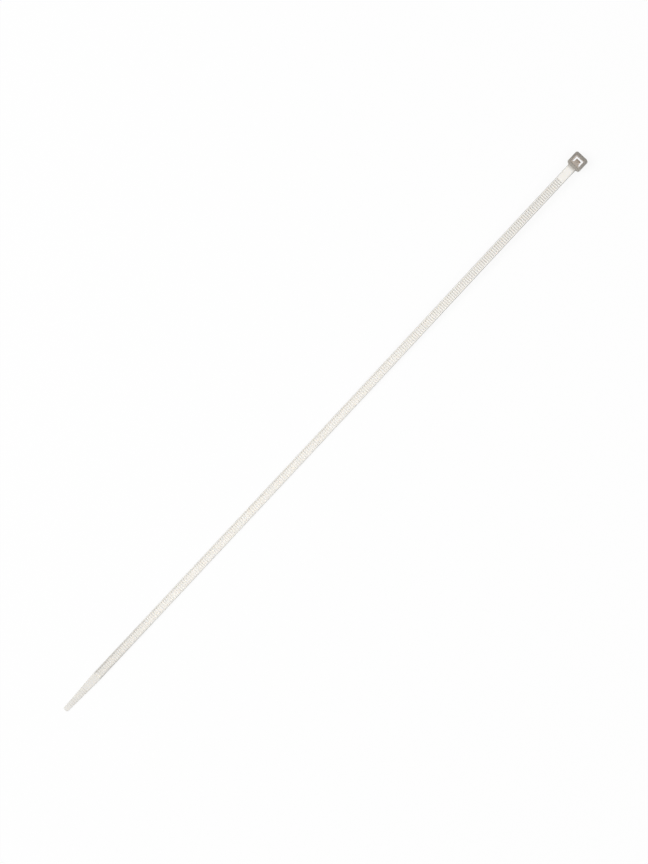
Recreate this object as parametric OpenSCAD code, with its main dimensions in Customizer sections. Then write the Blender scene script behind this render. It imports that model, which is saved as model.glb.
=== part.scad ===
// Cable tie, moulded in one piece from natural nylon: a toothed strap, a head and a locking pawl.
// It lies as it comes to rest, toothed face up: on the exit face of its head and on the back of
// its strap, which comes down from the head to the table in one long easy bend.
// Millimetres. +X runs along the strap to the head, +Z is up, and z = 0 is the table.

/* [Strap] */
// Length over everything, from the tip of the tail to the far end of the head
overall_l = 300; // [260:5:400]
// Width of the strap
strap_w = 3.6; // [3.4:0.1:4.8]
// Thickness of the strap over its two rails
strap_t = 1.1; // [1:0.05:1.4]
// Width of the plain rail along each edge of the strap
rail_w = 0.5; // [0.4:0.05:0.6]
// Rounding of the strap's long edges
edge_r = 0.18; // [0.1:0.02:0.2]
// Radius of the two opposite curves that bring the strap down from the head to the table
bend_r = 1750; // [800:50:2000]

/* [Teeth] */
// Distance from one tooth to the next
tooth_pitch = 0.98; // [0.9:0.02:1.3]
// Height of a tooth above the floor between the rails
tooth_h = 0.35; // [0.25:0.05:0.4]
// How far the crests lie below the top of the rails
crest_sink = 0.1; // [0.06:0.02:0.16]
// Length of the flat on the crest of a tooth
crest_l = 0.12; // [0.08:0.02:0.2]
// Length of the flat floor in front of a tooth
root_l = 0.2; // [0.1:0.02:0.3]
// How far the locking face of a tooth leans back
lock_lean = 0.06; // [0.04:0.01:0.1]

/* [Neck] */
// Length of plain strap between the head and the first tooth
neck_l = 7.5; // [5:0.2:12]
// Length of the flare where the back of the strap runs into the head
flare_l = 4.4; // [2:0.2:4.8]
// Depth that the flare adds to the strap at the head
flare_h = 1.4; // [0.4:0.1:1.8]
// Rounding in the corner between the strap's edge and the head
neck_r = 0.5; // [0.2:0.1:0.8]

/* [Tail] */
// Length of plain tail, from its tip to the last tooth
tail_l = 18.8; // [16:0.2:30]
// Length over which the tail narrows and thins to its tip
taper_l = 17.2; // [16:0.2:30]
// Width of the tail just behind its rounded tip
tip_w = 2.1; // [1.8:0.1:3]
// Thickness of the tail just behind its rounded tip
tip_t = 0.8; // [0.6:0.05:1]
// Corner rounding of the tip, seen from above
tip_r = 0.8; // [0.4:0.1:0.8]
// Number of grip ribs across the tail
rib_count = 10; // [6:1:12]
// Distance from one grip rib to the next
rib_pitch = 0.91; // [0.8:0.01:1]
// Height of a grip rib
rib_h = 0.14; // [0.1:0.02:0.2]
// Distance from the tip to the first grip rib
rib_start = 3; // [2:0.2:4]

/* [Head] */
// Height of the head, from its exit face on the table to its entry face
head_h = 4.8; // [4.4:0.1:6]
// How far the entry face stands above the toothed face of the strap
rim_rise = 0.45; // [0.2:0.05:0.7]
// Thickness of the two walls beside the window
side_wall = 1.05; // [0.9:0.05:1.6]
// Thickness of the far wall, which the strap slides along
end_wall = 1.5; // [1:0.1:1.8]
// Thickness of the wall that carries the strap and the pawl
root_wall = 1.3; // [1:0.1:1.8]
// Rounding of the head's upright corners
corner_r = 0.9; // [0.5:0.1:1]
// Rounding of the head's top and bottom edges
rim_r = 0.3; // [0.15:0.05:0.4]
// Size of the lead-in round the mouth of the window
mouth = 0.3; // [0.2:0.05:0.4]

/* [Lock] */
// Clearance between the window and each edge of a strap in it
window_clear = 0.14; // [0.05:0.01:0.2]
// Clearance between the slot and the thickness of a strap in it
slot_clear = 0.1; // [0.05:0.01:0.2]
// Room for the pawl between the root wall and the slot
pawl_room = 2; // [1.9:0.1:2.8]
// Clearance between the pawl and each rail of a strap in the slot
pawl_clear = 0.3; // [0.1:0.05:0.5]
// Number of locking teeth on the pawl
pawl_teeth = 3; // [2:1:3]
// Depth of a locking step on the pawl
pawl_step = 0.32; // [0.2:0.02:0.4]
// Thickness of the pawl behind its teeth
pawl_t = 0.85; // [0.7:0.05:1]
// Rounding of the pawl's free corners, seen from above
pawl_r = 0.3; // [0.1:0.05:0.5]
// Depth of the pawl's hinge below the entry face
hinge_sink = 0.55; // [0.4:0.05:0.8]
// Thickness of the hinge that the pawl bends at
hinge_t = 0.85; // [0.6:0.05:1]
// Length over which the pawl widens at its hinge to the walls beside it
hinge_l = 1; // [0.4:0.1:1.2]
// Rounding at the top of the groove behind the pawl
groove_r = 0.18; // [0.1:0.02:0.24]

/* [Hidden] */
$fn = 48;
natural_nylon = [0.93, 0.92, 0.88];
overlap = 0.2;       // how deep one form is sunk into the next, so that they fuse
edge_steps = 3;      // flats that round off a long edge
curve_steps = 4;     // steps that draw the rounding of the tip and of the neck
flare_steps = 8;     // steps that draw the flare
bend_steps = 10;     // steps that draw one curve of the bend

// Heights
web_t = strap_t - crest_sink - tooth_h;
crest_t = strap_t - crest_sink;
strap_z = head_h - rim_rise - strap_t;

// Widths
channel_w = strap_w - 2 * rail_w;
window_w = strap_w + 2 * window_clear;
head_w = window_w + 2 * side_wall;
pawl_w = channel_w - 2 * pawl_clear;

// The bend: two equal curves, which turn the strap down by bend_a and level again
bend_a = acos(1 - strap_z / (2 * bend_r));
bend_l = 2 * bend_r * sin(bend_a);
curve_l = bend_r * bend_a * PI / 180;

// Stations along the tie
tip_x = -overall_l / 2;
head_x1 = overall_l / 2;
window_x1 = head_x1 - end_wall;
slot_x0 = window_x1 - strap_t - slot_clear;
window_x0 = slot_x0 - pawl_room;
head_x0 = window_x0 - root_wall;

// Distances along the back of the strap, from the head towards the tail
back_l = head_x0 - tip_x - bend_l + 2 * curve_l;
tooth_count = floor((back_l - neck_l - tail_l) / tooth_pitch);
teeth_end = neck_l + tooth_count * tooth_pitch;

// Share of the way through a form that starts at x0 and is l long
function share(x, x0, l) = min(max((x - x0) / l, 0), 1);

// Point in the side view: s along the back of the strap from the head, h above the back
function lay(s, h) =
    let (
        down = bend_a * share(s, flare_l, curve_l),
        back = bend_a * share(s, flare_l + curve_l, curve_l),
        lean = down - back,
        level = min(s, flare_l) + max(s - flare_l - 2 * curve_l, 0),
        x = head_x0 - level - bend_r * (sin(down) + sin(bend_a) - sin(bend_a - back)),
        z = strap_z - bend_r * (1 - cos(down) + cos(bend_a - back) - cos(bend_a))
    )
    [x - h * sin(lean), z + h * cos(lean)];

// How full the rounded tip is, u from the end of the tail: 0 at the end, 1 past the rounding
function tip_fill(u) = sqrt(1 - pow(1 - share(u, 0, tip_r), 2));

// Width and thickness of the tapered tail, u from its end
function tail_w(u) =
    tip_w + (strap_w - tip_w) * share(u, tip_r, taper_l - tip_r) - 2 * tip_r * (1 - tip_fill(u));
function tail_t(u) = tip_t + (strap_t - tip_t) * share(u, tip_r, taper_l - tip_r);

// Cross-section of the strap, w wide and from low to high above its back line, with rounded edges
function section(w, low, high) =
    let (r = min(edge_r, 0.45 * w, 0.45 * (high - low)))
    [
        for (corner = [0 : 3], i = [0 : edge_steps])
            let (
                a = 90 * (corner + i / edge_steps),
                side = (corner == 0 || corner == 3) ? 1 : -1
            )
            [side * (w / 2 - r) + r * cos(a), (corner < 2 ? high - r : low + r) + r * sin(a)]
    ];

// The strap's section at s: it widens and deepens into the head, and tapers to the tip
function ring(s) =
    let (
        u = back_l - s,
        wider = 2 * neck_r * pow(1 - share(s, 0, neck_r), 2),
        deeper = flare_h * pow(1 - share(s, 0, flare_l), 2),
        less = edge_r * (1 - tip_fill(u))
    )
    [
        for (p = section(tail_w(u) + wider, less - deeper, tail_t(u) - less))
            let (q = lay(s, p.y))
            [q.x, p.x, q.y]
    ];

// Extrudes a side view, drawn in X and Z, to a width centred on the strap
module across(w) {
    rotate([90, 0, 0])
        linear_extrude(w, center = true, convexity = 10)
            children();
}

// Extrudes a cross-section, drawn in Y and Z, from one station to another
module along(x0, x1) {
    translate([x0, 0, 0])
        rotate([90, 0, 90])
            linear_extrude(x1 - x0, convexity = 4)
                children();
}

// Rectangle from one corner to the other, with rounded corners
module round_rect(low, high, r) {
    size = high - low;
    translate(low + [r, 0])
        square([size.x - 2 * r, size.y]);
    translate(low + [0, r])
        square([size.x, size.y - 2 * r]);
    for (x = [low.x + r, high.x - r], y = [low.y + r, high.y - r])
        translate([x, y])
            circle(r);
}

// Solid strap, lofted from inside the head to the tip of the tail
module strap_body() {
    stations = concat(
        [-root_wall / 2],
        [for (i = [0 : curve_steps - 1]) neck_r * i / curve_steps],
        [for (i = [0 : flare_steps]) neck_r + (flare_l - neck_r) * i / flare_steps],
        [for (i = [1 : 2 * bend_steps]) flare_l + curve_l * i / bend_steps],
        [back_l - taper_l],
        [for (i = [curve_steps : -1 : 0]) back_l - tip_r * (1 - cos(90 * i / curve_steps))]
    );
    n = 4 * (edge_steps + 1);
    last = len(stations) - 1;
    polyhedron(
        points = [for (s = stations) each ring(s)],
        faces = concat(
            [[for (j = [n - 1 : -1 : 0]) j]],
            [
                for (i = [0 : last - 1], j = [0 : n - 1])
                    let (k = (j + 1) % n)
                    [i * n + j, i * n + k, (i + 1) * n + k, (i + 1) * n + j]
            ],
            [[for (j = [0 : n - 1]) last * n + j]]
        ),
        convexity = 4
    );
}

module grip_ribs() {
    rib_r = 1.6 * rib_h;
    for (i = [0 : rib_count - 1]) {
        u = rib_start + i * rib_pitch;
        translate([tip_x + u, 0, tail_t(u) + rib_h - rib_r])
            rotate([90, 0, 0])
                cylinder(h = tail_w(u) - edge_r, r = rib_r, center = true);
    }
}

// Everything above the teeth, seen from the side. From the head towards the tail each tooth
// rises steeply with its locking face, has a short flat crest and falls away gently.
module channel_profile() {
    teeth = [
        for (i = [0 : tooth_count - 1])
            let (s = neck_l + i * tooth_pitch)
            each [
                lay(s, web_t),
                lay(s + root_l, web_t),
                lay(s + root_l + lock_lean, crest_t),
                lay(s + root_l + lock_lean + crest_l, crest_t)
            ]
    ];
    polygon(concat(
        [lay(neck_l - strap_t, 3 * strap_t), lay(neck_l - strap_t, web_t + strap_t)],
        teeth,
        [
            lay(teeth_end, web_t),
            lay(teeth_end + strap_t, web_t + strap_t),
            lay(teeth_end + strap_t, strap_z + 3 * strap_t)
        ]
    ));
}

module strap() {
    difference() {
        strap_body();
        across(channel_w)
            channel_profile();
    }
    grip_ribs();
}

// Block with rounded upright corners, whose top and bottom edges are rounded all the way round
module round_block(low, high, corner, rim) {
    inner_low = low + [corner, corner, 0];
    inner_high = high - [corner, corner, 0];
    along(inner_low.x, inner_high.x)
        round_rect([low.y, low.z], [high.y, high.z], rim);
    translate([0, (low.y + high.y) / 2, 0])
        across(inner_high.y - inner_low.y)
            round_rect([low.x, low.z], [high.x, high.z], rim);
    for (right = [0, 1], back = [0, 1])
        translate([right ? inner_high.x : inner_low.x, back ? inner_high.y : inner_low.y, 0])
            rotate([0, 0, right ? (back ? 0 : 270) : (back ? 90 : 180)])
                rotate_extrude(angle = 90)
                    intersection() {
                        round_rect([-corner, low.z], [corner, high.z], rim);
                        translate([0, low.z])
                            square([corner, high.z - low.z]);
                    }
}

// The window goes right through the head, and its mouth has a lead-in on all four sides
module window() {
    translate([window_x0, -window_w / 2, -1])
        cube([window_x1 - window_x0, window_w, head_h + 2]);
    intersection() {
        across(head_w)
            polygon([
                [window_x0, head_h - mouth],
                [window_x1, head_h - mouth],
                [window_x1 + 2 * mouth, head_h + mouth],
                [window_x0 - 2 * mouth, head_h + mouth]
            ]);
        along(head_x0, head_x1)
            polygon([
                [-window_w / 2, head_h - mouth],
                [window_w / 2, head_h - mouth],
                [window_w / 2 + 2 * mouth, head_h + mouth],
                [-window_w / 2 - 2 * mouth, head_h + mouth]
            ]);
    }
}

module head() {
    difference() {
        round_block([head_x0, -head_w / 2, 0], [head_x1, head_w / 2, head_h], corner_r, rim_r);
        window();
    }
}

// Side view of the pawl. Its teeth reach down to the floor between the teeth of a strap.
// Their steep sides look at the exit face, so a pull on the strap drives the pawl deeper.
module pawl_profile(reach) {
    top = head_h - hinge_sink;
    first_z = top - hinge_t - tooth_pitch / 2;
    last_z = first_z - (pawl_teeth - 1) * tooth_pitch;
    heel = [reach - pawl_step - pawl_t, last_z - 2 * lock_lean];
    // The groove behind the pawl narrows to a rounded top at the hinge
    apex = [window_x0, top - hinge_t];
    half_a = atan((heel.x - apex.x) / (apex.y - heel.y)) / 2;
    groove_d = groove_r / sin(half_a);
    groove_l = groove_d * cos(half_a);
    difference() {
        polygon(concat(
            [
                [window_x0 - overlap, top],
                [window_x0 + hinge_t, top],
                [reach - 1.6 * pawl_step, first_z + 0.8 * hinge_t]
            ],
            [
                for (i = [0 : pawl_teeth - 1])
                    let (z = first_z - i * tooth_pitch)
                    each [[reach, z], [reach - pawl_step, z - lock_lean]]
            ],
            [
                [reach - 1.3 * pawl_step, heel.y],
                heel,
                apex + groove_l * [sin(2 * half_a), -cos(2 * half_a)],
                apex - [0, groove_l],
                [window_x0 - overlap, apex.y - groove_l]
            ]
        ));
        translate(apex + groove_d * [sin(half_a), -cos(half_a)])
            circle(groove_r);
    }
}

// Seen from above: a tongue with rounded corners, which widens into the side walls at its hinge
module pawl_plan(reach) {
    wide = window_w / 2 + 2 * overlap;
    round_rect([window_x0 - overlap - pawl_r, -pawl_w / 2], [reach, pawl_w / 2], pawl_r);
    polygon([
        [window_x0 - overlap, -wide],
        [window_x0 + hinge_l, -pawl_w / 2],
        [window_x0 + hinge_l, pawl_w / 2],
        [window_x0 - overlap, wide]
    ]);
}

module pawl() {
    reach = window_x1 - web_t - slot_clear;
    intersection() {
        across(head_w)
            pawl_profile(reach);
        linear_extrude(head_h)
            pawl_plan(reach);
    }
}

module cable_tie() {
    color(natural_nylon)
        union() {
            strap();
            head();
            pawl();
        }
}

cable_tie();
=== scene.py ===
"""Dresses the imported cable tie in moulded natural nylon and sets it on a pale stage.

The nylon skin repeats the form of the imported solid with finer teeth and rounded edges.
Metres; +X runs along the strap to the head, +Z is up, and z = 0 is the table.
"""

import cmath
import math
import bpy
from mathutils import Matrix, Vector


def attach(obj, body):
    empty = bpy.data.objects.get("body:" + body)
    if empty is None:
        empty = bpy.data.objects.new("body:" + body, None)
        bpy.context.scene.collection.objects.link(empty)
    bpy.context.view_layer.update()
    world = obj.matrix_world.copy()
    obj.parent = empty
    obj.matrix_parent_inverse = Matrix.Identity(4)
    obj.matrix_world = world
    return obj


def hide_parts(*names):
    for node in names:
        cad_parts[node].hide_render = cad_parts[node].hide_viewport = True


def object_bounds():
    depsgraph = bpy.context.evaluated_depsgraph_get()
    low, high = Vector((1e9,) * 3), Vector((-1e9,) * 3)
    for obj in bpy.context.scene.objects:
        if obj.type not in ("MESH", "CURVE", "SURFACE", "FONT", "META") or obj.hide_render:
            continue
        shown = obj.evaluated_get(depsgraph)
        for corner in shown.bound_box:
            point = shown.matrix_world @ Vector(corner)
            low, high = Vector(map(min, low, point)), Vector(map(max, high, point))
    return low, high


bl_info = {
    "name": "Cable Tie",
    "version": (1, 0, 0),
    "blender": (4, 5, 0),
    "location": "View3D > Sidebar > Cable Tie",
    "description": "Builds the nylon skin of a cable tie on its packed solid, and a stage for it",
    "category": "Add Mesh",
}

import bmesh
import bpy
from bpy.props import FloatProperty, FloatVectorProperty, IntProperty, PointerProperty
from mathutils import Matrix, Vector

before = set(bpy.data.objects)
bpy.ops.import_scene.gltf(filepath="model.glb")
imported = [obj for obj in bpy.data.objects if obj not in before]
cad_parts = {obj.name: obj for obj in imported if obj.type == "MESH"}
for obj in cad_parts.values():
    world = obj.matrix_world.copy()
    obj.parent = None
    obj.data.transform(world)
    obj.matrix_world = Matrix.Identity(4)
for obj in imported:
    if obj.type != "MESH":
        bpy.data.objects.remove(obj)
CAD_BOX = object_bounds()
NODE = "cable_tie"
MM = 0.001
STRAP, HEAD, PAWL = range(3)
# Depth of each point below the rails, kept on the mesh as the mask for the painted shade in the roots
# of the teeth
DEPTH = "depth_below_rails"

# Steps in the curves of the skin
NECK_STEPS = 6
FLARE_STEPS = 12
TIP_STEPS = 12
RIB_STEPS = 3
CORNER_STEPS = 8
RIM_STEPS = 5
PAWL_STEPS = 6

# How far the pawl's skin runs into the head's walls, and what counts as one point
SUNK = 0.2 * MM
MERGE_WITHIN = 0.001 * MM

# A rib's radius against its height
RIB_ROUND = 1.6

# Largest share of the strap's thickness, half width, flat top and lines that a rounding takes
EDGE_OF_THICKNESS = 0.45
EDGE_OF_HALF_WIDTH = 0.7
SOFT_OF_FLAT = 0.4
SOFT_OF_LINE = 0.45

# Faces that meet at more than this angle keep a sharp edge
SHARP_FROM = math.radians(50)

# Features in a metre of the clouds, the grain, and the drag marks along and across the tie
CLOUD_SCALE = 300
GRAIN_SCALE = 9000
DRAG_SCALE = (250, 5000, 5000)

# Share of the grain that the thin parts show
THIN_GRAIN = 0.5

# Half the floor's edge, in metres, and how often the camera's aim is corrected
FLOOR_HALF = 4.0
AIM_ROUNDS = 6

# The photograph's frame and the places of the tie's two ends in it, in pixels
PHOTO_SIZE = (648, 864)
TAIL_END_PX = (65.2, 710.2)
HEAD_END_PX = (582.8, 156.2)


def millimetres(name, description, default, low, high):
    """A length setting; it is given in millimetres and kept in metres."""
    return FloatProperty(
        name=name,
        description=description,
        default=default * MM,
        min=low * MM,
        max=high * MM,
        subtype="DISTANCE",
        unit="LENGTH",
        precision=5,
    )


def share_of(name, description, default, high=1.0):
    """A setting without a unit, from 0 to high."""
    return FloatProperty(name=name, description=description, default=default, min=0, max=high)


def power_of(name, description, default):
    """A lamp's power, in watts."""
    return FloatProperty(name=name, description=description, default=default, min=0, unit="POWER")


def turn_of(name, description, default):
    """An angle setting; it is given in degrees and kept in radians."""
    return FloatProperty(
        name=name, description=description, default=math.radians(default), unit="ROTATION"
    )


def colour(name, description, default):
    """A colour setting, in linear light."""
    return FloatVectorProperty(
        name=name, description=description, default=default, size=3, min=0, max=1, subtype="COLOR"
    )


class StrapShape(bpy.types.PropertyGroup):
    width: millimetres("Width", "Width of the strap", 3.6, 3.4, 4.8)
    thickness: millimetres("Thickness", "Thickness over the two rails", 1.1, 1, 1.4)
    rail: millimetres("Rail", "Width of the rail along each edge", 0.5, 0.4, 0.6)
    edge: millimetres("Edge", "Rounding of the long edges", 0.18, 0.1, 0.2)
    soft: millimetres("Soft corners", "Size of the smallest moulded roundings", 0.05, 0.02, 0.06)
    bend: millimetres("Bend", "Radius of the two curves down to the table", 1750, 800, 2000)
    neck: millimetres("Neck", "Plain strap between the head and the first tooth", 7.5, 5, 12)
    flare: millimetres("Flare", "Length over which the back runs into the head", 4.4, 2, 4.8)
    flare_depth: millimetres("Flare depth", "Depth that the flare adds at the head", 1.4, 0.4, 1.8)
    neck_round: millimetres("Neck corner", "Rounding between the edge and the head", 0.5, 0.2, 0.8)


class ToothShape(bpy.types.PropertyGroup):
    pitch: millimetres("Pitch", "Distance from one tooth to the next", 0.98, 0.9, 1.3)
    height: millimetres("Height", "Height of a tooth above the channel's floor", 0.35, 0.25, 0.4)
    sink: millimetres("Sink", "How far the crests lie below the rails", 0.1, 0.06, 0.16)
    crest: millimetres("Crest", "Length of the flat on a crest", 0.12, 0.08, 0.2)
    root: millimetres("Root", "Length of the flat in front of a tooth", 0.2, 0.1, 0.3)
    lean: millimetres("Lean", "How far the locking face leans back", 0.06, 0.04, 0.1)


class TailShape(bpy.types.PropertyGroup):
    plain: millimetres("Plain tail", "Length from the tip to the last tooth", 18.8, 16, 30)
    taper: millimetres("Taper", "Length over which the tail narrows", 17.2, 16, 30)
    tip_width: millimetres("Tip width", "Width just behind the rounded tip", 2.1, 1.8, 3)
    tip_thickness: millimetres("Tip thickness", "Thickness at the tip", 0.8, 0.6, 1)
    tip_round: millimetres("Tip corners", "Corner rounding of the tip", 0.8, 0.4, 0.8)
    ribs: IntProperty(name="Grip ribs", description="Number of grip ribs", default=10, min=6, max=12)
    rib_pitch: millimetres("Rib pitch", "Distance from one rib to the next", 0.91, 0.8, 1)
    rib_height: millimetres("Rib height", "Height of a grip rib", 0.14, 0.1, 0.2)
    rib_start: millimetres("First rib", "Distance from the tip to the first rib", 3, 2, 4)


class HeadShape(bpy.types.PropertyGroup):
    height: millimetres("Height", "From the exit face to the entry face", 4.8, 4.4, 6)
    rise: millimetres("Rise", "Entry face above the toothed face of the strap", 0.45, 0.2, 0.7)
    side_wall: millimetres("Side walls", "Thickness beside the window", 1.05, 0.9, 1.6)
    far_wall: millimetres("Far wall", "Wall that the strap slides along", 1.5, 1, 1.8)
    root_wall: millimetres("Root wall", "Wall that carries strap and pawl", 1.3, 1, 1.8)
    corner: millimetres("Corners", "Rounding of the upright corners", 0.9, 0.5, 1)
    rim: millimetres("Rims", "Rounding of the top and bottom edges", 0.3, 0.15, 0.4)
    mouth: millimetres("Mouth", "Lead-in round the mouth of the window", 0.3, 0.2, 0.4)
    side_room: millimetres("Side room", "Clearance beside a strap in the window", 0.14, 0.05, 0.2)
    slot_room: millimetres("Slot room", "Clearance over the strap's thickness", 0.1, 0.05, 0.2)
    pawl_room: millimetres("Pawl room", "From the root wall to the slot", 2.0, 1.9, 2.8)


class PawlShape(bpy.types.PropertyGroup):
    side_room: millimetres("Side room", "Clearance between the pawl and each rail", 0.3, 0.1, 0.5)
    teeth: IntProperty(name="Teeth", description="Locking teeth on the pawl", default=3, min=2, max=3)
    step: millimetres("Step", "Depth of a locking step", 0.32, 0.2, 0.4)
    thickness: millimetres("Thickness", "Thickness behind the teeth", 0.85, 0.7, 1)
    corner: millimetres("Corners", "Rounding of the free corners from above", 0.3, 0.1, 0.5)
    sink: millimetres("Hinge depth", "Hinge below the entry face", 0.55, 0.4, 0.8)
    hinge: millimetres("Hinge", "Thickness of the hinge", 0.85, 0.6, 1)
    flare: millimetres("Hinge flare", "Length over which the pawl widens at its hinge", 1, 0.4, 1.2)
    groove: millimetres("Groove", "Rounding at the top of the groove behind", 0.18, 0.1, 0.24)


class NylonLook(bpy.types.PropertyGroup):
    strap: colour("Strap", "Ivory of the thin strap", (0.93, 0.91, 0.87))
    # Painted shade: the head is coloured grey where its thick nylon lets less light through.
    head: colour("Head", "Grey of the thick head", (0.248, 0.228, 0.202))
    # Painted light: the wall that carries the strap is a lighter grey than the rest of the head, and
    # the neck takes on this grey as painted shade.
    near_wall: colour(
        "Near wall", "Lighter grey of the wall that carries the strap", (0.33, 0.305, 0.27)
    )
    # Painted light: the walls inside the window and the free sides of the pawl are coloured pale
    # where light comes through the nylon.
    inside: colour(
        "Inside", "Paler walls inside the window, which light shines through", (0.95, 0.87, 0.79)
    )
    # Painted shade: the pawl is coloured a brownish grey, like the head around it.
    pawl: colour("Pawl", "Brownish grey of the pawl in its window", (0.44, 0.385, 0.335))
    mottle: colour("Mottling", "Tint of the faint clouds in the nylon", (0.93, 0.90, 0.85))
    mottling: share_of("Mottling strength", "Strength of the clouds in the nylon", 0.5)
    # Painted shade: the shares below darken the colour of the rails, the outer edges, the roots of
    # the teeth, the strap by the head, the tail, the neck and the toothed tip of the pawl.
    rail_shade: share_of("Rail shade", "How much darker the thicker rails are", 0.14)
    rail_gain: share_of("Rails by the tail", "How much stronger their shade grows there", 0.9)
    rail_loss: share_of("Rails by the head", "How much weaker their shade grows there", 0.8)
    edge_shade: share_of("Edge shade", "How much darker the outer edges are by the head", 0.55)
    edge_rest: share_of("Edge shade elsewhere", "Share of it away from the head", 0.3)
    root_shade: share_of("Root shade", "How much darker the roots of the teeth are", 0.14)
    head_shade: share_of("Shade by the head", "How much darker the strap grows there", 0.06)
    tail_shade: share_of("Tail shade", "How much darker the plain tail is", 0.2)
    neck_shade: share_of("Neck shade", "How far the neck takes on the grey of the head", 0.8)
    pawl_shade: share_of("Pawl shade", "How much darker the toothed tip of the pawl is", 0.1)
    roughness: share_of("Roughness", "Roughness of the moulded skin", 0.42)
    grain: share_of("Grain", "Strength of the fine moulded grain", 0.25)
    drag: share_of("Drag marks", "Strength of the marks that the mould leaves along the tie", 0.4)


class StageLook(bpy.types.PropertyGroup):
    floor: colour("Floor", "Colour of the pale floor", (0.9, 0.9, 0.9))
    floor_white: share_of("Floor white", "Share of the floor that shows as plain white", 0.88)
    ambient: share_of("Ambient", "Light from the room on the object", 0.56, high=5.0)
    key_power: power_of("Key lamp", "Power of the stronger soft lamp", 7.5)
    fill_power: power_of("Fill lamp", "Power of the soft lamp opposite", 3.8)
    lamp_size: millimetres("Lamp size", "Edge of each soft lamp", 800, 50, 5000)
    lamp_distance: millimetres("Lamp distance", "From each soft lamp to the tie", 1200, 50, 5000)
    distance: millimetres("Camera distance", "From the camera to the tie", 2500, 200, 5000)
    lean: turn_of("Camera lean", "How far the camera leans over towards the head", 1)
    side_lean: turn_of("Camera side lean", "How far the camera leans over to one side", 5)


class CableTieSettings(bpy.types.PropertyGroup):
    strap: PointerProperty(type=StrapShape)
    tooth: PointerProperty(type=ToothShape)
    tail: PointerProperty(type=TailShape)
    head: PointerProperty(type=HeadShape)
    pawl: PointerProperty(type=PawlShape)
    nylon: PointerProperty(type=NylonLook)
    stage: PointerProperty(type=StageLook)


def share(value, start, length):
    """Share of the way through a form that starts at start and is length long."""
    return min(max((value - start) / length, 0), 1)


def quarter_turn(steps):
    """The angles from 0 to a right angle, in equal steps."""
    return [math.pi / 2 * i / steps for i in range(steps + 1)]


def soften(corners, radius):
    """Cuts each inner corner of a line into two points, radius before and after it."""
    line = [corners[0]]
    for before, corner, after in zip(corners, corners[1:], corners[2:]):
        for end in (before, after):
            reach = Vector(end) - Vector(corner)
            line.append(tuple(Vector(corner) + reach * min(radius / reach.length, SOFT_OF_LINE)))
    return line + [corners[-1]]


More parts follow.
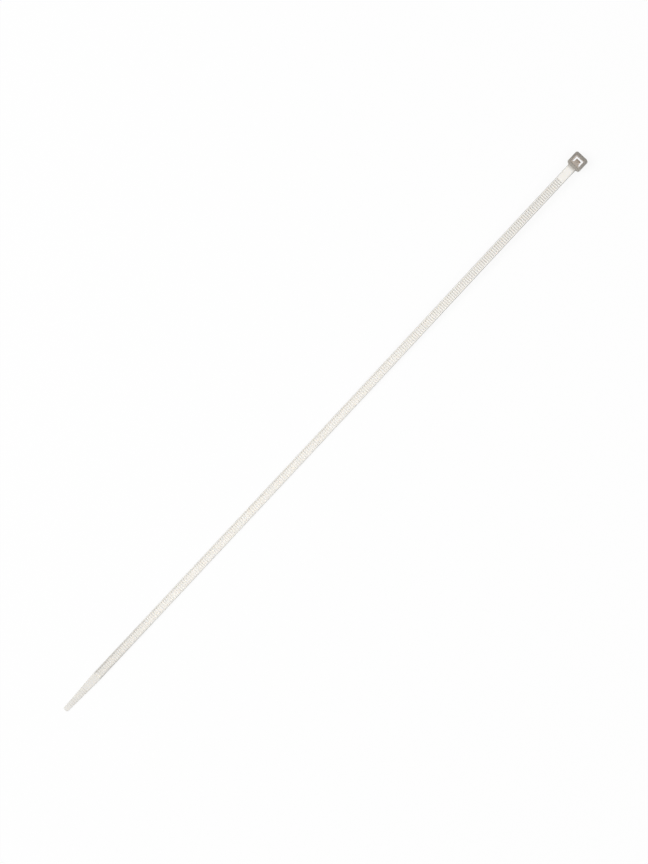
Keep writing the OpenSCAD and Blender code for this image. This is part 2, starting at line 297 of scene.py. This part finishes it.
class TieForm:
    """The stations and curves of the tie, worked out from its settings."""

    def __init__(self, settings):
        self.strap = strap = settings.strap
        self.tooth = tooth = settings.tooth
        self.tail = tail = settings.tail
        self.head = head = settings.head
        self.pawl = pawl = settings.pawl
        low, high = CAD_BOX
        self.crest_h = strap.thickness - tooth.sink
        self.web_h = self.crest_h - tooth.height
        self.strap_z = head.height - head.rise - strap.thickness
        self.channel_half = strap.width / 2 - strap.rail
        self.window_half = strap.width / 2 + head.side_room
        self.head_half = self.window_half + head.side_wall
        self.pawl_half = self.channel_half - pawl.side_room
        self.turn = math.acos(1 - self.strap_z / (2 * strap.bend))
        self.curve = strap.bend * self.turn
        self.tip_x = low.x
        self.head_x1 = high.x
        self.window_x1 = self.head_x1 - head.far_wall
        self.slot_x0 = self.window_x1 - strap.thickness - head.slot_room
        self.window_x0 = self.slot_x0 - head.pawl_room
        self.head_x0 = self.window_x0 - head.root_wall
        bend_length = 2 * strap.bend * math.sin(self.turn)
        self.back = self.head_x0 - self.tip_x - bend_length + 2 * self.curve
        self.teeth = math.floor((self.back - strap.neck - tail.plain) / tooth.pitch)
        self.teeth_end = strap.neck + self.teeth * tooth.pitch

    def lay(self, s, h):
        """Side view point at s along the back from the head, h above the back."""
        flare, bend, turn = self.strap.flare, self.strap.bend, self.turn
        down = turn * share(s, flare, self.curve)
        back = turn * share(s, flare + self.curve, self.curve)
        level = min(s, flare) + max(s - flare - 2 * self.curve, 0)
        x = self.head_x0 - level - bend * (math.sin(down) + math.sin(turn) - math.sin(turn - back))
        z = self.strap_z - bend * (1 - math.cos(down) + math.cos(turn - back) - math.cos(turn))
        return x - h * math.sin(down - back), z + h * math.cos(down - back)

    def tail_section(self, s):
        """Half width, underside and top of the solid strap at s, above its back."""
        strap, tail = self.strap, self.tail
        u = self.back - s
        fill = math.sqrt(max(1 - (1 - share(u, 0, tail.tip_round)) ** 2, 0))
        taper = share(u, tail.tip_round, tail.taper - tail.tip_round)
        width = tail.tip_width + (strap.width - tail.tip_width) * taper
        width += 2 * strap.neck_round * (1 - share(s, 0, strap.neck_round)) ** 2
        width -= 2 * tail.tip_round * (1 - fill)
        top = tail.tip_thickness + (strap.thickness - tail.tip_thickness) * taper
        less = strap.edge * (1 - fill)
        deeper = strap.flare_depth * (1 - share(s, 0, strap.flare)) ** 2
        return width / 2, less - deeper, top - less

    def channel_line(self):
        """The floor of the channel with its teeth, as points (s, height above the back)."""
        strap, tooth = self.strap, self.tooth
        rise = strap.thickness - self.web_h
        line = [(strap.neck - 2 * rise, strap.thickness), (strap.neck - rise, strap.thickness)]
        for i in range(self.teeth):
            start = strap.neck + i * tooth.pitch
            face = start + tooth.root
            crest = face + tooth.lean
            line += [(start, self.web_h), (face, self.web_h)]
            line += [(crest, self.crest_h), (crest + tooth.crest, self.crest_h)]
        end = self.teeth_end
        line += [(end, self.web_h), (end + rise, strap.thickness), (end + 2 * rise, strap.thickness)]
        return soften(line, strap.soft)

    def rib_lines(self):
        """The grip ribs, as points (s, height above the tail's top)."""
        tail = self.tail
        radius = RIB_ROUND * tail.rib_height
        spread = math.acos(1 - tail.rib_height / radius)
        line = []
        for i in range(tail.ribs):
            middle = self.back - tail.rib_start - i * tail.rib_pitch
            for step in range(-RIB_STEPS, RIB_STEPS + 1):
                angle = spread * step / RIB_STEPS
                height = radius * (math.cos(angle) - math.cos(spread))
                line.append((middle + radius * math.sin(angle), height))
        return sorted(line)

    def strap_stations(self):
        """Every section of the strap from inside the head to the tip, as (s, floor height)."""
        strap, tail = self.strap, self.tail
        flare = strap.flare - strap.neck_round
        neck = [-self.head.root_wall / 2]
        neck += [strap.neck_round * i / NECK_STEPS for i in range(NECK_STEPS)]
        neck += [strap.neck_round + flare * i / FLARE_STEPS for i in range(FLARE_STEPS + 1)]
        plain = [self.back - tail.taper + tail.tip_round]
        plain += [self.back - tail.tip_round * (1 - math.cos(a)) for a in quarter_turn(TIP_STEPS)]
        stations = [(s, self.tail_section(s)[2]) for s in neck + plain]
        stations += [(s, min(h, self.tail_section(s)[2])) for s, h in self.channel_line()]
        stations += [(s, self.tail_section(s)[2] + h) for s, h in self.rib_lines()]
        return sorted(stations)

    def strap_ring(self, s, floor):
        """Cross-section of the strap at s, all the way round, with the depth of each point."""
        half, low, high = self.tail_section(s)
        edge = min(self.strap.edge, EDGE_OF_THICKNESS * (high - low), EDGE_OF_HALF_WIDTH * half)
        soft = min(self.strap.soft, SOFT_OF_FLAT * (half - edge))
        channel = min(self.channel_half, half - edge - 1.2 * soft)
        drop = math.copysign(min(soft, abs(floor - high) / 2), floor - high)
        gap = (soft - abs(drop)) / 3
        cut = edge * (1 - math.sqrt(0.5))
        right = [
            (half - edge, low),
            (half - cut, low + cut),
            (half, low + edge),
            (half, high - edge),
            (half - cut, high - cut),
            (half - edge, high),
            (channel + soft, high),
            (channel + gap, high + drop),
            (channel - gap, floor - drop),
            (channel - soft, floor),
        ]
        depth = share(high - floor, 0, self.strap.thickness - self.web_h)
        # The last valley and the ramp behind it get no depth, so the painted shade in the roots
        # leaves them out.
        depth *= s < self.teeth_end - 2 * soft
        depths = [0] * (len(right) - 3) + [depth / 2, depth, depth]
        half_ring = [(*self.lay(s, h), y, d) for (y, h), d in zip(right, depths)]
        ring = [(x, y, z, d) for x, z, y, d in half_ring]
        return ring + [(x, -y, z, d) for x, y, z, d in reversed(ring)]

    def pawl_profile(self):
        """How far the pawl reaches, its side view as points (x, z), and its hinge and heel."""
        pawl, tooth = self.pawl, self.tooth
        reach = self.window_x1 - self.web_h - self.head.slot_room
        top = self.head.height - pawl.sink
        first = top - pawl.hinge - tooth.pitch / 2
        last = first - (pawl.teeth - 1) * tooth.pitch
        heel = Vector((reach - pawl.step - pawl.thickness, last - 2 * tooth.lean))
        apex = Vector((self.window_x0, top - pawl.hinge))
        half_angle = math.atan((heel.x - apex.x) / (apex.y - heel.y)) / 2
        to_round = pawl.groove / math.sin(half_angle)
        inside = self.window_x0 - SUNK
        shoulder = (reach - 1.6 * pawl.step, first + 0.8 * pawl.hinge)
        toe = (reach - 1.3 * pawl.step, heel.y)
        profile = [(inside, top), (self.window_x0 + pawl.hinge, top), shoulder]
        for i in range(pawl.teeth):
            z = first - i * tooth.pitch
            profile += [(reach, z), (reach - pawl.step, z - tooth.lean)]
        profile += [toe, tuple(heel)]
        centre = apex + to_round * Vector((math.sin(half_angle), -math.cos(half_angle)))
        for step in range(PAWL_STEPS + 1):
            angle = 2 * half_angle + (math.pi - 2 * half_angle) * step / PAWL_STEPS
            x = centre.x + pawl.groove * math.cos(angle)
            profile.append((x, centre.y + pawl.groove * math.sin(angle)))
        profile.append((inside, centre.y))
        return reach, profile, apex, heel


def loft(mesh, rings, finish, joined=False):
    """Joins rings of equally many points with quads; closes the ends unless the rings join up.

    Points that fall together are merged, so that no flat face is left between them.
    """
    depth = mesh.verts.layers.float.get(DEPTH) or mesh.verts.layers.float.new(DEPTH)
    rows = []
    for ring in rings:
        rows.append([mesh.verts.new(point[:3]) for point in ring])
        for vertex, point in zip(rows[-1], ring):
            vertex[depth] = point[3] if len(point) > 3 else 0
    pairs = list(zip(rows, rows[1:]))
    faces = []
    if joined:
        pairs.append((rows[-1], rows[0]))
    else:
        faces += [mesh.faces.new(rows[0][::-1]), mesh.faces.new(rows[-1])]
    for near, far in pairs:
        for i, point in enumerate(near):
            j = (i + 1) % len(near)
            faces.append(mesh.faces.new((point, near[j], far[j], far[i])))
    for face in faces:
        face.material_index = finish
    bmesh.ops.recalc_face_normals(mesh, faces=faces)
    points = [point for row in rows for point in row]
    bmesh.ops.remove_doubles(mesh, verts=points, dist=MERGE_WITHIN)


def add_strap(mesh, form):
    """The strap with its rails, teeth, grip ribs, flare and tip."""
    loft(mesh, [form.strap_ring(s, floor) for s, floor in form.strap_stations()], STRAP)


def rounded_rectangle(low_x, high_x, half_y, corner, z):
    """Rectangle with rounded corners, at height z."""
    points = []
    for quarter, (side_x, side_y) in enumerate(((1, 1), (-1, 1), (-1, -1), (1, -1))):
        centre_x = high_x - corner if side_x > 0 else low_x + corner
        centre_y = side_y * (half_y - corner)
        for step in range(CORNER_STEPS + 1):
            angle = math.pi / 2 * (quarter + step / CORNER_STEPS)
            x = centre_x + corner * math.cos(angle)
            points.append((x, centre_y + corner * math.sin(angle), z))
    return points


def add_head(mesh, form):
    """The head: one closed skin round its walls, with rounded rims and a mouth that leads in."""
    head = form.head
    soft = form.strap.soft
    top = head.height

    def window(grow, z):
        low_x, high_x = form.window_x0 - grow, form.window_x1 + grow
        return rounded_rectangle(low_x, high_x, form.window_half + grow, 2 * soft + grow, z)

    def wall(inset, z):
        low_x, high_x = form.head_x0 + inset, form.head_x1 - inset
        return rounded_rectangle(low_x, high_x, form.head_half - inset, head.corner - inset, z)

    turns = quarter_turn(RIM_STEPS)
    rim = [(head.rim * (1 - math.cos(a)), head.rim * (1 - math.sin(a))) for a in turns]
    rings = [window(0, top - head.mouth - soft), window(0, soft), window(soft, 0)]
    rings += [wall(inset, z) for z, inset in rim]
    rings += [wall(inset, top - drop) for inset, drop in rim]
    rings += [window(head.mouth + soft, top), window(head.mouth - soft, top - soft)]
    rings += [window(soft, top - head.mouth + soft)]
    loft(mesh, rings, HEAD, joined=True)


def add_pawl(mesh, form):
    """The pawl, sliced across its width: a tongue with rounded corners and a wide hinge."""
    reach, profile, apex, heel = form.pawl_profile()
    half = form.pawl_half
    corner = form.pawl.corner
    turns = quarter_turn(PAWL_STEPS)
    slope = (apex.y - heel.y) / (heel.x - apex.x)
    wide = form.window_half + 2 * SUNK
    # Each cut is a distance from the middle and how far out the pawl reaches there
    cuts = [(half - corner * (1 - math.sin(a)), reach - corner * (1 - math.cos(a))) for a in turns]
    cuts += [(half, apex.x + form.pawl.flare), (wide, apex.x - SUNK + form.strap.soft)]
    rings = []
    for side, half_cuts in ((-1, cuts[::-1]), (1, cuts)):
        for y, limit in half_cuts:
            back = apex.y - slope * (limit - apex.x)
            rings.append(
                [(min(x, limit), side * y, z if x < limit else max(z, back)) for x, z in profile]
            )
    loft(mesh, rings, PAWL)


class Value:
    """A socket of a node tree. Arithmetic on it adds the Math nodes that work it out."""

    def __init__(self, finish, socket):
        self.finish = finish
        self.socket = socket

    def math(self, operation, first, second=0.0):
        """Adds one Math node."""
        return self.finish.node("ShaderNodeMath", {"operation": operation}, {0: first, 1: second})

    def __add__(self, other):
        return self.math("ADD", self, other)

    def __sub__(self, other):
        return self.math("SUBTRACT", self, other)

    def __mul__(self, other):
        return self.math("MULTIPLY", self, other)

    def __rsub__(self, other):
        return self.math("SUBTRACT", other, self)

    __radd__ = __add__
    __rmul__ = __mul__

    def __abs__(self):
        return self.math("ABSOLUTE", self)

    def at_least(self, other):
        """The larger of this and another value."""
        return self.math("MAXIMUM", self, other)

    def ramp(self, low, high):
        """0 up to low and 1 from high on, with a smooth change between."""
        sockets = {"Value": self, "From Min": low, "From Max": high}
        return self.finish.node("ShaderNodeMapRange", {"interpolation_type": "SMOOTHSTEP"}, sockets)


class Finish:
    """Builds the node tree of one material or of the world."""

    def __init__(self, owner):
        owner.use_nodes = True
        self.owner = owner
        self.tree = owner.node_tree
        self.tree.nodes.clear()

    def node(self, kind, settings=None, sockets=None, output=0):
        """Adds a node, makes its settings, then sets or links its sockets."""
        node = self.tree.nodes.new(kind)
        for name, value in (settings or {}).items():
            setattr(node, name, value)
        for name, value in (sockets or {}).items():
            if isinstance(value, Value):
                self.tree.links.new(value.socket, node.inputs[name])
            else:
                node.inputs[name].default_value = value
        return Value(self, node.outputs[output])

    def mix(self, factor, first, second, blend="MIX"):
        """Blends two colours."""
        colours = [c if isinstance(c, Value) else (*c, 1) for c in (first, second)]
        settings = {"data_type": "RGBA", "blend_type": blend}
        return self.node("ShaderNodeMix", settings, {0: factor, 6: colours[0], 7: colours[1]}, 2)

    def noise(self, place, scale, detail=2.0, roughness=0.5):
        """Noise between 0 and 1, with scale features in a metre."""
        sockets = {"Vector": place, "Scale": scale, "Detail": detail, "Roughness": roughness}
        return self.node("ShaderNodeTexNoise", None, sockets)

    def x_and_y(self, place):
        """The first two coordinates of a place."""
        return [self.node("ShaderNodeSeparateXYZ", None, {0: place}, axis) for axis in (0, 1)]

    def scaled(self, place, factors):
        """Coordinates with each axis scaled."""
        return self.node("ShaderNodeVectorMath", {"operation": "MULTIPLY"}, {0: place, 1: factors})

    def darker(self, body, amount):
        """A colour, darkened by an amount between 0 and 1."""
        return self.mix(amount, body, (0, 0, 0))

    def end(self, kind, shader):
        """Links a shader to the tree's output."""
        output = self.tree.nodes.new(kind)
        self.tree.links.new(shader.socket, output.inputs["Surface"])


def nylon(name, colour_with_painted_light, look, grain):
    """Moulded natural nylon: waxy, a little mottled, with fine grain and drag marks."""
    finish = Finish(bpy.data.materials.new(name))
    place = finish.node("ShaderNodeTexCoord", output=3)
    cloud = finish.noise(place, CLOUD_SCALE, detail=3)
    fine = finish.noise(place, GRAIN_SCALE, roughness=0.6)
    drag = finish.noise(finish.scaled(place, DRAG_SCALE), scale=1)
    tint = finish.mix(cloud, tuple(look.mottle), (1, 1, 1))
    body = finish.mix(look.mottling, colour_with_painted_light(finish, place), tint, "MULTIPLY")
    height = fine * grain + drag * look.drag
    relief = {"Strength": 0.35, "Distance": 0.02 * MM, "Height": height}
    sockets = {
        "Base Color": body,
        "Roughness": look.roughness + (cloud - 0.5) * 0.12 + (fine - 0.5) * 0.1,
        "Normal": finish.node("ShaderNodeBump", None, relief),
        "IOR": 1.53,
        "Subsurface Weight": 0.15,
        "Subsurface Radius": (1.0, 0.9, 0.75),
        "Subsurface Scale": 0.4 * MM,
    }
    finish.end("ShaderNodeOutputMaterial", finish.node("ShaderNodeBsdfPrincipled", None, sockets))
    return finish.owner


def strap_nylon(look, form):
    """Ivory with painted shade: darker along the rails and edges, in the roots of the teeth, by the
    head and on the tail, and grey at the neck.
    """

    def colour_with_painted_light(finish, place):
        x, y = finish.x_and_y(place)
        depth = finish.node("ShaderNodeAttribute", {"attribute_name": DEPTH}, output=2)
        half = form.strap.width / 2
        rail = abs(y).ramp(form.channel_half - 0.1 * MM, form.channel_half + 0.05 * MM)
        edge = abs(y).ramp(half - 0.22 * MM, half - 0.08 * MM)
        headward = x.ramp(10 * MM, 90 * MM)
        by_head = x.ramp(60 * MM, 130 * MM)
        tailward = x.ramp(form.tip_x + 60 * MM, form.tip_x + 18 * MM)
        plain_tail = x.ramp(form.tip_x + 19 * MM, form.tip_x + 18 * MM)
        neck = x.ramp(form.head_x0 - 1.8 * MM, form.head_x0 + 0.2 * MM)
        # Painted shade: the rails are darkened, more by the tail and less by the head, and the outer
        # edges most by the head.
        rail = rail * (1 - plain_tail) * (1 + tailward * look.rail_gain - headward * look.rail_loss)
        edge = edge * (1 - plain_tail) * (look.edge_rest + headward * (1 - look.edge_rest))
        body = finish.darker(tuple(look.strap), rail * look.rail_shade)
        body = finish.darker(body, edge * look.edge_shade)
        # Painted shade in the roots of the teeth, stronger towards the head.
        body = finish.darker(body, depth.ramp(0.5, 0.95) * (1 + headward) * look.root_shade)
        # Painted shade: the strap grows darker towards the head.
        body = finish.darker(body, by_head * look.head_shade)
        # Painted shade: the tail is darkened, most on the plain part by the tip.
        body = finish.darker(body, (tailward + plain_tail) * (look.tail_shade / 2))
        # Painted shade: the neck takes on the painted grey of the head's near wall.
        return finish.mix(neck * look.neck_shade, body, tuple(look.near_wall))

    return nylon("nylon_strap", colour_with_painted_light, look, look.grain * THIN_GRAIN)


def head_nylon(look, form):
    """Painted light and shade: grey, lighter towards the wall that carries the strap, and pale inside
    the window.
    """

    def colour_with_painted_light(finish, place):
        x, y = finish.x_and_y(place)
        # Painted light and shade: the head is a lighter grey by the strap and darker towards the far
        # end.
        painted_shade_to_end = x.ramp(form.head_x0 + form.head.root_wall / 2, form.slot_x0)
        wall = finish.mix(painted_shade_to_end, tuple(look.near_wall), tuple(look.head))
        middle = (form.window_x0 + form.window_x1) / 2
        half = (form.window_x1 - form.window_x0) / 2
        # Painted light: the walls inside the window are coloured pale.
        painted_window_light = abs(x - middle).ramp(half + 0.15 * MM, half + 0.02 * MM)
        painted_window_light = painted_window_light * abs(y).ramp(form.window_half + 0.15 * MM, form.window_half + 0.02 * MM)
        return finish.mix(painted_window_light, wall, tuple(look.inside))

    return nylon("nylon_head", colour_with_painted_light, look, look.grain)


def pawl_nylon(look, form):
    """Brownish grey, with painted shade that darkens the toothed tip and painted light that makes
    pale edges along its free sides.
    """

    def colour_with_painted_light(finish, place):
        x, y = finish.x_and_y(place)
        # Painted shade: the toothed tip is darker.
        tip = x.ramp(form.slot_x0 - 0.6 * MM, form.slot_x0)
        # Painted light: the free sides are coloured pale.
        edge = abs(y).ramp(form.pawl_half - 0.06 * MM, form.pawl_half - 0.01 * MM)
        free_from = form.window_x0 + form.pawl.flare
        edge = edge * x.ramp(free_from - 0.1 * MM, free_from)
        body = finish.darker(tuple(look.pawl), tip * look.pawl_shade)
        return finish.mix(edge, body, tuple(look.inside))

    return nylon("nylon_pawl", colour_with_painted_light, look, look.grain * THIN_GRAIN)


class CableTieAdd(bpy.types.Operator):
    """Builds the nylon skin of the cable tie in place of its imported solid"""

    bl_idname = "mesh.cable_tie_add"
    bl_label = "Add Cable Tie"

    def execute(self, context):
        settings = context.scene.cable_tie
        form = TieForm(settings)
        skin = bmesh.new()
        add_strap(skin, form)
        add_head(skin, form)
        add_pawl(skin, form)
        for face in skin.faces:
            face.smooth = True
        mesh = bpy.data.meshes.new("nylon_tie")
        skin.to_mesh(mesh)
        skin.free()
        mesh.set_sharp_from_angle(angle=SHARP_FROM)
        for make_nylon in (strap_nylon, head_nylon, pawl_nylon):
            mesh.materials.append(make_nylon(settings.nylon, form))
        tie = bpy.data.objects.new("nylon_tie", mesh)
        context.scene.collection.objects.link(tie)
        weighted = tie.modifiers.new("weighted normals", "WEIGHTED_NORMAL")
        weighted.keep_sharp = True
        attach(tie, "root")
        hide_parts(NODE)
        return {"FINISHED"}


def point_at(camera, low, high, look):
    """Aims the camera so that both ends of the tie come where the photograph has them."""
    middle = (low + high) / 2
    back = Vector((math.tan(look.lean), -math.tan(look.side_lean), 1)).normalized()
    up = back.cross(Vector((1, 0, 0))).normalized()
    right = up.cross(back)
    place = middle + back * look.distance
    centre = complex(PHOTO_SIZE[0] / 2, -PHOTO_SIZE[1] / 2)
    wanted = [complex(x, -y) - centre for x, y in (TAIL_END_PX, HEAD_END_PX)]
    for _ in range(AIM_ROUNDS):
        seen = []
        for end in (low, high):
            ray = end - place
            seen.append(complex(ray.dot(right), ray.dot(up)) / -ray.dot(back))
        turn = (wanted[1] - wanted[0]) / (seen[1] - seen[0])
        offset = seen[0] - wanted[0] / turn
        place += (right * offset.real + up * offset.imag) * look.distance
    roll = cmath.phase(turn)
    axes = Matrix((right, up, back)).transposed()
    camera.matrix_world = (
        Matrix.Translation(place) @ axes.to_4x4() @ Matrix.Rotation(-roll, 4, "Z")
    )
    camera.data.sensor_fit = "HORIZONTAL"
    camera.data.lens = abs(turn) * camera.data.sensor_width / PHOTO_SIZE[0]


class CableTieStage(bpy.types.Operator):
    """Makes the pale floor, the soft light and the camera"""

    bl_idname = "scene.cable_tie_stage"
    bl_label = "Add Stage"

    def execute(self, context):
        scene = context.scene
        look = scene.cable_tie.stage
        self.add_floor(scene, look)
        self.add_light(scene, look)
        camera = bpy.data.objects.new("camera", bpy.data.cameras.new("camera"))
        scene.collection.objects.link(camera)
        low, high = CAD_BOX
        tip = Vector((low.x, 0, scene.cable_tie.tail.tip_thickness / 2))
        point_at(camera, tip, Vector((high.x, 0, high.z / 2)), look)
        camera.data.clip_start = 0.01
        scene.camera = camera
        scene.view_settings.view_transform = "Standard"
        return {"FINISHED"}

    def seen_directly(self, finish):
        """1 for rays that show the background, and 0 for rays that light the object."""
        kinds = ["Is Camera Ray", "Is Glossy Ray", "Is Transmission Ray"]
        seen = [finish.node("ShaderNodeLightPath", output=kind) for kind in kinds]
        return seen[0].at_least(seen[1]).at_least(seen[2])

    def add_floor(self, scene, look):
        """The pale floor, which shows nearly white and keeps the shadow."""
        mesh = bpy.data.meshes.new("floor")
        skin = bmesh.new()
        bmesh.ops.create_grid(skin, x_segments=1, y_segments=1, size=FLOOR_HALF)
        skin.to_mesh(mesh)
        skin.free()
        floor = bpy.data.objects.new("floor", mesh)
        scene.collection.objects.link(floor)
        finish = Finish(bpy.data.materials.new("pale_floor"))
        matt = finish.node("ShaderNodeBsdfDiffuse", None, {"Color": (*look.floor, 1)})
        white = finish.node("ShaderNodeEmission", None, {"Strength": 1.0})
        share_white = self.seen_directly(finish) * look.floor_white
        surface = finish.node("ShaderNodeMixShader", None, {0: share_white, 1: matt, 2: white})
        finish.end("ShaderNodeOutputMaterial", surface)
        mesh.materials.append(finish.owner)

    def add_light(self, scene, look):
        """The light of the room, and a soft lamp on each side of the strap."""
        finish = Finish(bpy.data.worlds.new("studio"))
        strength = self.seen_directly(finish).at_least(look.ambient)
        glow = finish.node("ShaderNodeBackground", None, {"Strength": strength})
        finish.end("ShaderNodeOutputWorld", glow)
        scene.world = finish.owner
        lamps = (
            ("key_lamp", look.key_power, (-0.3, 0.5, 1)),
            ("fill_lamp", look.fill_power, (0.3, -0.6, 1)),
        )
        for name, power, direction in lamps:
            lamp = bpy.data.lights.new(name, "AREA")
            lamp.size = look.lamp_size
            lamp.energy = power
            towards = Vector(direction).normalized()
            softbox = bpy.data.objects.new(name, lamp)
            softbox.location = towards * look.lamp_distance
            softbox.rotation_euler = towards.to_track_quat("Z", "Y").to_euler()
            scene.collection.objects.link(softbox)


class CableTiePanel(bpy.types.Panel):
    """Lists the settings of the cable tie and of its stage"""

    bl_idname = "VIEW3D_PT_cable_tie"
    bl_label = "Cable Tie"
    bl_space_type = "VIEW_3D"
    bl_region_type = "UI"
    bl_category = "Cable Tie"

    def draw(self, context):
        settings = context.scene.cable_tie
        for group in ("strap", "tooth", "tail", "head", "pawl", "nylon", "stage"):
            box = self.layout.box()
            box.label(text=group.capitalize())
            part = getattr(settings, group)
            for name in part.__annotations__:
                box.prop(part, name)
        self.layout.operator(CableTieAdd.bl_idname)
        self.layout.operator(CableTieStage.bl_idname)


CLASSES = (
    StrapShape,
    ToothShape,
    TailShape,
    HeadShape,
    PawlShape,
    NylonLook,
    StageLook,
    CableTieSettings,
    CableTieAdd,
    CableTieStage,
    CableTiePanel,
)


def register():
    for cls in CLASSES:
        bpy.utils.register_class(cls)
    bpy.types.Scene.cable_tie = PointerProperty(type=CableTieSettings)


def unregister():
    del bpy.types.Scene.cable_tie
    for cls in reversed(CLASSES):
        bpy.utils.unregister_class(cls)


def main():
    register()
    bpy.ops.scene.cable_tie_stage()
    bpy.ops.mesh.cable_tie_add()


if __name__ == "__main__":
    main()
